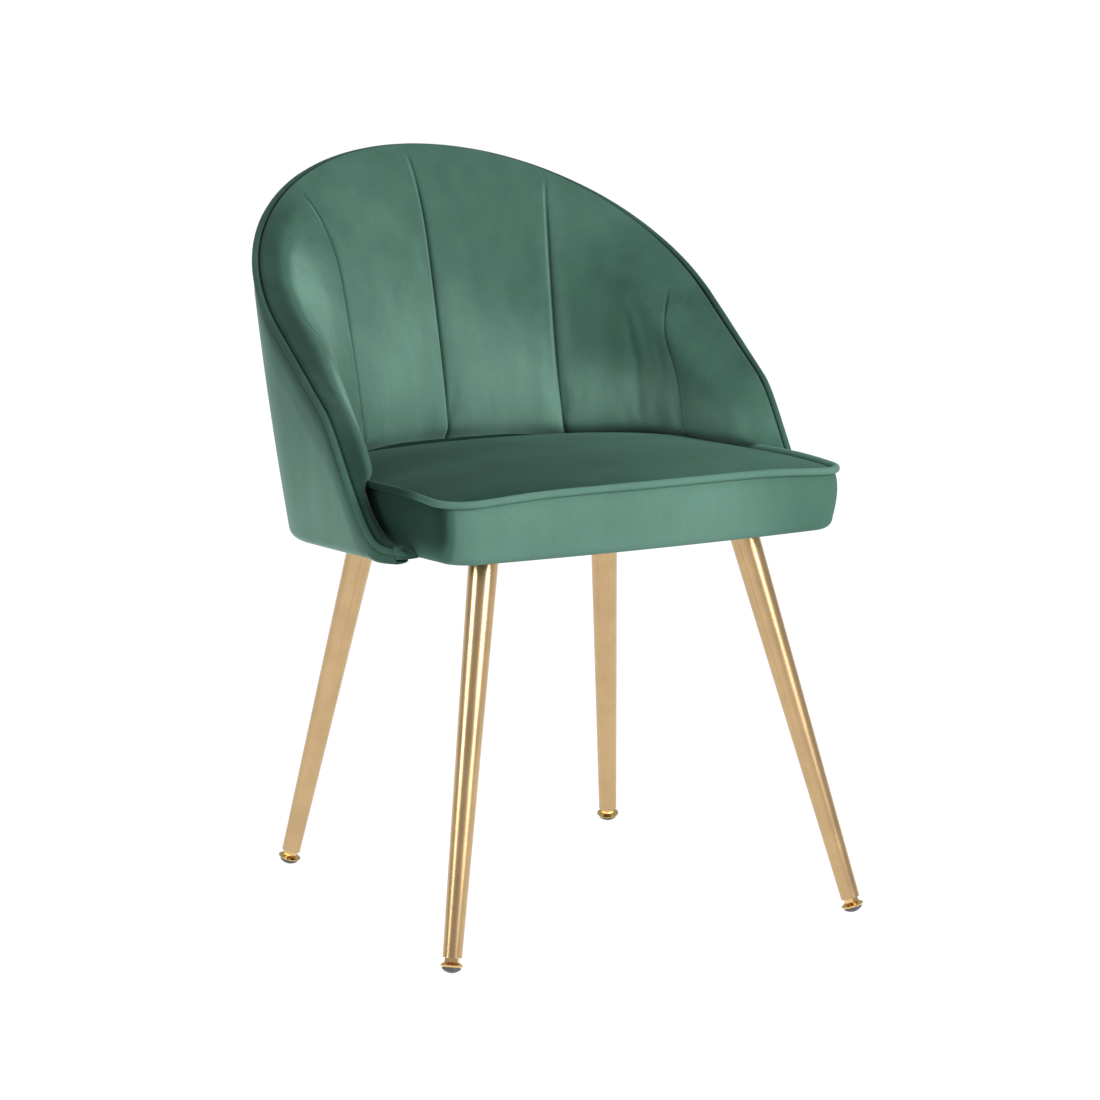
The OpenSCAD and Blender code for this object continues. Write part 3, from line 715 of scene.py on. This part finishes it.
def make_outer_cover(cloth):
    """One smooth cover from the welt down the outside, round the lower edge and under."""
    u = np.linspace(-1, 1, 260)
    edge = rim(u) - 1.0
    r = edge_round(u)
    rows = [wall(u, 0.4, 17.0), wall(u, LOWER_EDGE + 0.6, 13.5)]    # the fold underneath
    for a in np.radians(np.linspace(0, 90, 8)):
        rows.append(wall(u, LOWER_EDGE + r * (1 - cos(a)), r * (1 - sin(a))))
    for k in np.linspace(0, 1, 60)[1:]:
        z = LOWER_EDGE + r + (edge - LOWER_EDGE - r) * k
        near = np.clip(1 - (edge - z) / DRAWN_OVER, 0, 1)
        lip = np.clip(1 - (edge - z) / TUCKED_OVER, 0, 1)
        rows.append(wall(u, z, DRAWN_IN * near ** 2 + TUCKED_IN * lip ** 2 - STANDS_OUT * sin(pi * k)))
    obj = grid_object("outer_cover", np.array(rows)[:, ::-1])
    subdivide(obj)
    thicken(obj, BACK_CLOTH * MM)
    finish_soft(obj, cloth, outer_pile_and_painted_light, "velvet", "back_outer_cover")


WELT_DOWN, WELT_IN = 0.8, 3.7       # the welt's middle lies this far under the rim and inside the wall
HOOK_TURNS = np.radians(np.linspace(8, 110, 10))


def hook(end, before, side):
    """Points about 1 mm apart that leave the welt's end along its own direction and curve in and down."""
    ahead = (end - before) / np.linalg.norm(end - before)
    inward = np.array((-side, 0, -0.35))
    return np.array([end]) + np.cumsum([ahead * cos(a) + inward * sin(a) for a in HOOK_TURNS], axis=0)


def make_rim_welt(cloth):
    """The cord round the rim. At the tips it curves in over the noses and thins out."""
    u = np.linspace(-1, 1, 420)
    path = wall(u, rim(u) - WELT_DOWN, WELT_IN)
    left, right = hook(path[0], path[4], -1), hook(path[-1], path[-5], 1)
    path = np.concatenate([left[::-1], path, right])
    thin = np.linspace(1, 0.5, len(HOOK_TURNS))
    radius = WELT_R * np.concatenate([thin[::-1], np.ones(len(u)), thin])
    obj = tube("rim_piping", path, radius + wobble(path))
    subdivide(obj)
    finish_soft(obj, cloth, welt_pile_and_painted_light, "velvet", "rim_welt")


# ---- seat cushion ---------------------------------------------------------------------------------
EDGE_IN = 4.0                       # how far the cushion narrows to its lower edge
FOLD_R, FOLD_Z = 12, 0.3            # radius and height of the boxing's fold under the board
SIDE_H = 55                         # height of the boxing between fold and piping, roughly
SIDE_BULGE = 3.0
STITCH_IN, STITCH_OVER = 3.4, 4.0   # how far the stitching beside the piping pulls a sheet in
CORNER_IN, CORNER_BACK, CORNER_SPREAD = 10, 18, 70      # where the piping dips most, and how widely
OUTLINE_PARTS = (640, 300, 66, 400)     # rough lengths of the rear, a side, a corner and the front
TOP_OUT, TOP_UP = 0.5, 0.8          # the piping's middle lies this far outside and above the seam
TOP_POWER = 3.4                     # how flat the cushion's crown is in its middle


def seat_outline(e, z, step=6.0):
    """Outline of the cushion, e inside its side, at height z: one point for each fixed place round it,
    from the right side round the rear, the left and the front."""
    w, b = SEAT_HALF - e, BACK_ROUND - (BACK_HALF - SEAT_HALF) - e
    yc, r = arc_y(z), max(SEAT_CORNER - e, 12)
    f = -SEAT_FRONT + e
    fy, x = f + FRONT_BOW + r, w - r
    rear, side, corner, front = (int(n / step) for n in OUTLINE_PARTS)
    parts = [[(w * cos(a), yc + b * sin(a)) for a in np.linspace(0, pi, rear, endpoint=False)],
             [(-w, yc + (fy - yc) * k) for k in np.linspace(0, 1, side, endpoint=False)],
             [(-x - r * cos(a), fy - r * sin(a)) for a in np.linspace(0, pi / 2, corner, endpoint=False)],
             [(x * k, f + FRONT_BOW * k * k) for k in np.linspace(-1, 1, front, endpoint=False)],
             [(x + r * sin(a), fy - r * cos(a)) for a in np.linspace(0, pi / 2, corner, endpoint=False)],
             [(w, fy + (yc - fy) * k) for k in np.linspace(0, 1, side, endpoint=False)]]
    return np.array([p for part in parts for p in part])


def piping_z(p):
    """Height of the piping, which drops at the two front corners."""
    off = np.hypot(np.abs(p[..., 0]) - SEAT_HALF + CORNER_IN, p[..., 1] + SEAT_FRONT - CORNER_BACK)
    return SEAT_T - CORNER_DIP * np.exp(-(off / CORNER_SPREAD) ** 2)


def stitched(height):
    """How far a sheet is pulled in beside the piping, at a distance from it."""
    return STITCH_IN * np.exp(-np.maximum(height, 0) / STITCH_OVER)


def make_boxing(cloth):
    """The cushion's side: folded under the board, rounded at its lower edge, pulled in at the piping."""
    rings = []
    for e, z in ((36, FOLD_Z + 0.1), (26, FOLD_Z)):
        p = seat_outline(e, 1)
        rings.append(np.column_stack([p, np.full(len(p), z)]))
    for a in np.radians(np.linspace(0, 90, 7)):
        p = seat_outline(EDGE_IN + FOLD_R * (1 - sin(a)), 1)
        rings.append(np.column_stack([p, np.full(len(p), FOLD_Z + FOLD_R * (1 - cos(a)))]))
    foot = FOLD_Z + FOLD_R
    for above in [*np.linspace(1, 0.12, 14)[1:], 0.07, 0.03, 0.0]:
        narrow = EDGE_IN * above ** 1.2
        height = foot + (piping_z(seat_outline(narrow, SEAT_T)) - foot) * (1 - above)
        p = seat_outline(narrow + stitched(above * SIDE_H) - SIDE_BULGE * sin(pi * above), SEAT_T)
        rings.append(np.column_stack([p, height]))
    obj = grid_object("seat_side", np.array(rings), wrap=True)
    # held under the board and at the piping, and partly at the lower edge
    pins = np.zeros((len(rings), rings[0].shape[0]))
    pins[:6] = 1
    pins[6:8] = 0.4
    pins[-2:] = 1
    inflate(obj, pins.ravel(), SIDE_MAX)
    subdivide(obj)
    thicken(obj, SEAT_CLOTH * MM)
    finish_soft(obj, cloth, side_pile_and_painted_light, "velvet", "seat_boxing", fill=0.85)


# the top's grid: its size, where its corners lie on the outline, and the middle that the crown goes by
TOP_ACROSS = TOP_ALONG = 70
TOP_FRONT_CORNER = np.array((SEAT_HALF - 12, -SEAT_FRONT + 18))
TOP_REAR_CORNER = np.array((SEAT_HALF * 0.74, arc_y(SEAT_T) + 106))
OTHER_SIDE = np.array((-1, 1))
TOP_MIDDLE = np.array((0, -20.0))


def top_grid(outline):
    """A flat grid of quads drawn between the front, rear, left and right parts of an outline."""
    loop = np.vstack([outline, outline[:1]])
    length = np.concatenate([[0], np.cumsum(np.linalg.norm(np.diff(loop, axis=0), axis=1))])

    def place_of(target):
        return length[np.argmin(((outline - target) ** 2).sum(1))]

    def run(start, end, count):
        """Points evenly round the outline from one place to the next."""
        end = end if end > start else end + length[-1]
        place = np.mod(start + (end - start) * np.linspace(0, 1, count), length[-1])
        return np.column_stack([np.interp(place, length, loop[:, k]) for k in (0, 1)])

    fl, fr, rr, rl = (place_of(c) for c in (TOP_FRONT_CORNER * OTHER_SIDE, TOP_FRONT_CORNER,
                                            TOP_REAR_CORNER, TOP_REAR_CORNER * OTHER_SIDE))
    front, rear = run(fl, fr, TOP_ACROSS), run(rr, rl, TOP_ACROSS)[::-1]
    right, left = run(fr, rr, TOP_ALONG), run(rl, fl, TOP_ALONG)[::-1]
    s = np.linspace(0, 1, TOP_ACROSS)[None, :, None]
    t = np.linspace(0, 1, TOP_ALONG)[:, None, None]
    return ((1 - t) * front[None] + t * rear[None] + (1 - s) * left[:, None] + s * right[:, None]
            - (1 - s) * (1 - t) * front[0] - s * (1 - t) * front[-1]
            - (1 - s) * t * rear[0] - s * t * rear[-1])


def make_seat_top(cloth):
    """The cushion's crowned top: its height goes by the distance to the edge, seen from the middle."""
    outline = seat_outline(1.0, SEAT_T, step=2.0)
    flat = top_grid(outline)
    rays = outline - TOP_MIDDLE
    angle = np.arctan2(rays[:, 1], rays[:, 0])
    order = np.argsort(angle)
    off = flat - TOP_MIDDLE
    theta = np.arctan2(off[..., 1], off[..., 0])
    reach = np.interp(theta, angle[order], np.hypot(*rays.T)[order], period=2 * pi)
    edge_z = np.interp(theta, angle[order], piping_z(outline)[order], period=2 * pi)
    k = np.minimum(np.hypot(off[..., 0], off[..., 1]) / reach, 1)
    from_edge = (1 - k) * reach
    z = edge_z + 1.5 + (SEAT_T + SEAT_CROWN - edge_z) * (1 - k ** TOP_POWER) - stitched(from_edge)
    obj = grid_object("seat_top", np.dstack([flat, z]))
    pins = np.exp(-from_edge / 6)
    pins[[0, -1]] = pins[:, [0, -1]] = 1
    inflate(obj, pins.ravel(), SEAT_MAX)
    subdivide(obj)
    thicken(obj, SEAT_CLOTH * MM)
    finish_soft(obj, cloth, top_pile_and_painted_light, "velvet", "seat_top_panel", "seat_foam", fill=0.85)


def make_seat_piping(cloth):
    """The cord round the cushion's upper edge."""
    outline = seat_outline(-TOP_OUT, SEAT_T, step=4.0)
    path = np.column_stack([outline, piping_z(outline) + TOP_UP])
    path = np.concatenate([path, path[:1]])
    obj = tube("seat_piping_cord", path, PIPING_R + wobble(path))
    subdivide(obj)
    finish_soft(obj, cloth, cord_pile_and_painted_light, "velvet", "seat_piping")


# ---- build ------------------------------------------------------------------------------------------
PALE_TINT, GREEN_TINT = (0.66, 0.86, 0.78), (0.42, 0.80, 0.64)     # of the sheen
velvet_back = velvet("Velvet back", 0.22, PALE_TINT, 0.18)
velvet_outer = velvet("Velvet outside", 0.45, PALE_TINT, 0.12, (0.3, 0.1, 0.2))
velvet_seat = velvet("Velvet seat", 0.10, GREEN_TINT, 0.12, (0.7, 0.2, 0.4))
velvet_side = velvet("Velvet boxing", 0.15, GREEN_TINT, 0.08, (0.1, 0.5, 0.3))

make_channels(velvet_back)
make_outer_cover(velvet_outer)
make_rim_welt(velvet_back)
make_seat_top(velvet_seat)
make_boxing(velvet_side)
make_seat_piping(velvet_side)

satin_gold = metal("Satin gold", (0.56, 0.385, 0.205), 0.26)
bright_gold = metal("Polished gold", (0.78, 0.52, 0.22), 0.10)
zinc = metal("Zinc", (0.60, 0.61, 0.62), 0.34)
birch = wood("Birch plywood", (0.72, 0.55, 0.36), (0.56, 0.40, 0.25))
foam = plain_cloth("Foam", (0.86, 0.80, 0.60), (0.72, 0.66, 0.48), 700, 0.0012)
black_cloth = plain_cloth("Black dust cover", (0.035, 0.035, 0.037), (0.012, 0.012, 0.013), 1200, 0.0005)
grey_nylon = nylon("Grey nylon")

FINISH = {"plywood": birch, "foam": foam, "zinc_steel": zinc, "satin_gold": satin_gold,
          "bright_gold": bright_gold, "black_nonwoven": black_cloth, "grey_nylon": grey_nylon,
          "velvet": velvet_back}
for entry in frame["record"]["subparts"]:
    dress(frame["nodes"][entry["node"]], FINISH[entry["material_slot"]])


# ---- floor, light and camera --------------------------------------------------------------------
WHITE = (1, 1, 1, 1)
FLOOR_R, FLOOR_GREY, FLOOR_GLOW, WORLD_LIGHT = 40, 0.20, 0.92, 0.48
# azimuth (0 in front, 90 on the right), elevation, distance, size and power
LIGHTS = {"key": (18, 22, 3.4, 1.8, 120), "fill": (-85, 18, 3.4, 1.6, 40), "top": (10, 82, 3.0, 2.2, 14)}
LIGHT_TARGET = Vector((0, 0, 0.5))
VIEW_AZIMUTH, VIEW_ELEVATION, VIEW_DISTANCE, VIEW_LENS, SENSOR = 28.5, 10.9, 4.7, 140.17, 36
VIEW_TARGET = Vector((0, -BOX_MID * MM, 0.4))
VIEW_DROP = 0.01536                 # how far the camera looks below that


def make_floor():
    """A wide white floor that glows a little, so that it renders plain white round soft shadows."""
    circle = bmesh.new()
    bmesh.ops.create_circle(circle, cap_ends=True, radius=FLOOR_R, segments=96)
    mesh = bpy.data.meshes.new("floor")
    circle.to_mesh(mesh)
    circle.free()
    floor = add_object("floor", mesh)
    material, nodes, links, shader = new_material("Studio floor")
    shader.inputs["Base Color"].default_value = (FLOOR_GREY, FLOOR_GREY, FLOOR_GREY, 1)
    shader.inputs["Roughness"].default_value = 0.9
    shader.inputs["Specular IOR Level"].default_value = 0.0
    shader.inputs["Emission Color"].default_value = WHITE
    shader.inputs["Emission Strength"].default_value = FLOOR_GLOW
    dress(floor, material)


def area_light(name, azimuth, elevation, distance, size, power):
    """A round soft box aimed at the chair."""
    light = bpy.data.lights.new(name, "AREA")
    light.shape, light.size, light.energy = "DISK", size, power
    obj = bpy.data.objects.new(name, light)
    bpy.context.scene.collection.objects.link(obj)
    a, e = radians(azimuth), radians(elevation)
    out = Vector((sin(a) * cos(e), -cos(a) * cos(e), sin(e)))
    obj.location = LIGHT_TARGET + out * distance
    obj.rotation_euler = out.to_track_quat("Z", "Y").to_euler()


def make_world():
    """Even white light from all round."""
    world = bpy.data.worlds.new("Studio")
    bpy.context.scene.world = world
    world.use_nodes = True
    background = world.node_tree.nodes["Background"]
    background.inputs["Color"].default_value = WHITE
    background.inputs["Strength"].default_value = WORLD_LIGHT


def make_camera():
    """The camera at the photo's viewing angle."""
    a, e = radians(VIEW_AZIMUTH), radians(VIEW_ELEVATION)
    ahead = Vector((sin(a) * cos(e), cos(a) * cos(e), -sin(e)))
    right = Vector((cos(a), -sin(a), 0))
    up = right.cross(ahead)
    target = VIEW_TARGET - up * VIEW_DROP
    data = bpy.data.cameras.new("camera")
    data.lens, data.sensor_width = VIEW_LENS, SENSOR
    camera = bpy.data.objects.new("camera", data)
    camera.location = target - ahead * VIEW_DISTANCE
    camera.rotation_euler = Matrix((right, up, -ahead)).transposed().to_euler()
    bpy.context.scene.collection.objects.link(camera)
    bpy.context.scene.camera = camera


make_floor()
make_world()
for name, setting in LIGHTS.items():
    area_light(name, *setting)
make_camera()
bpy.context.scene.view_settings.view_transform = "Standard"
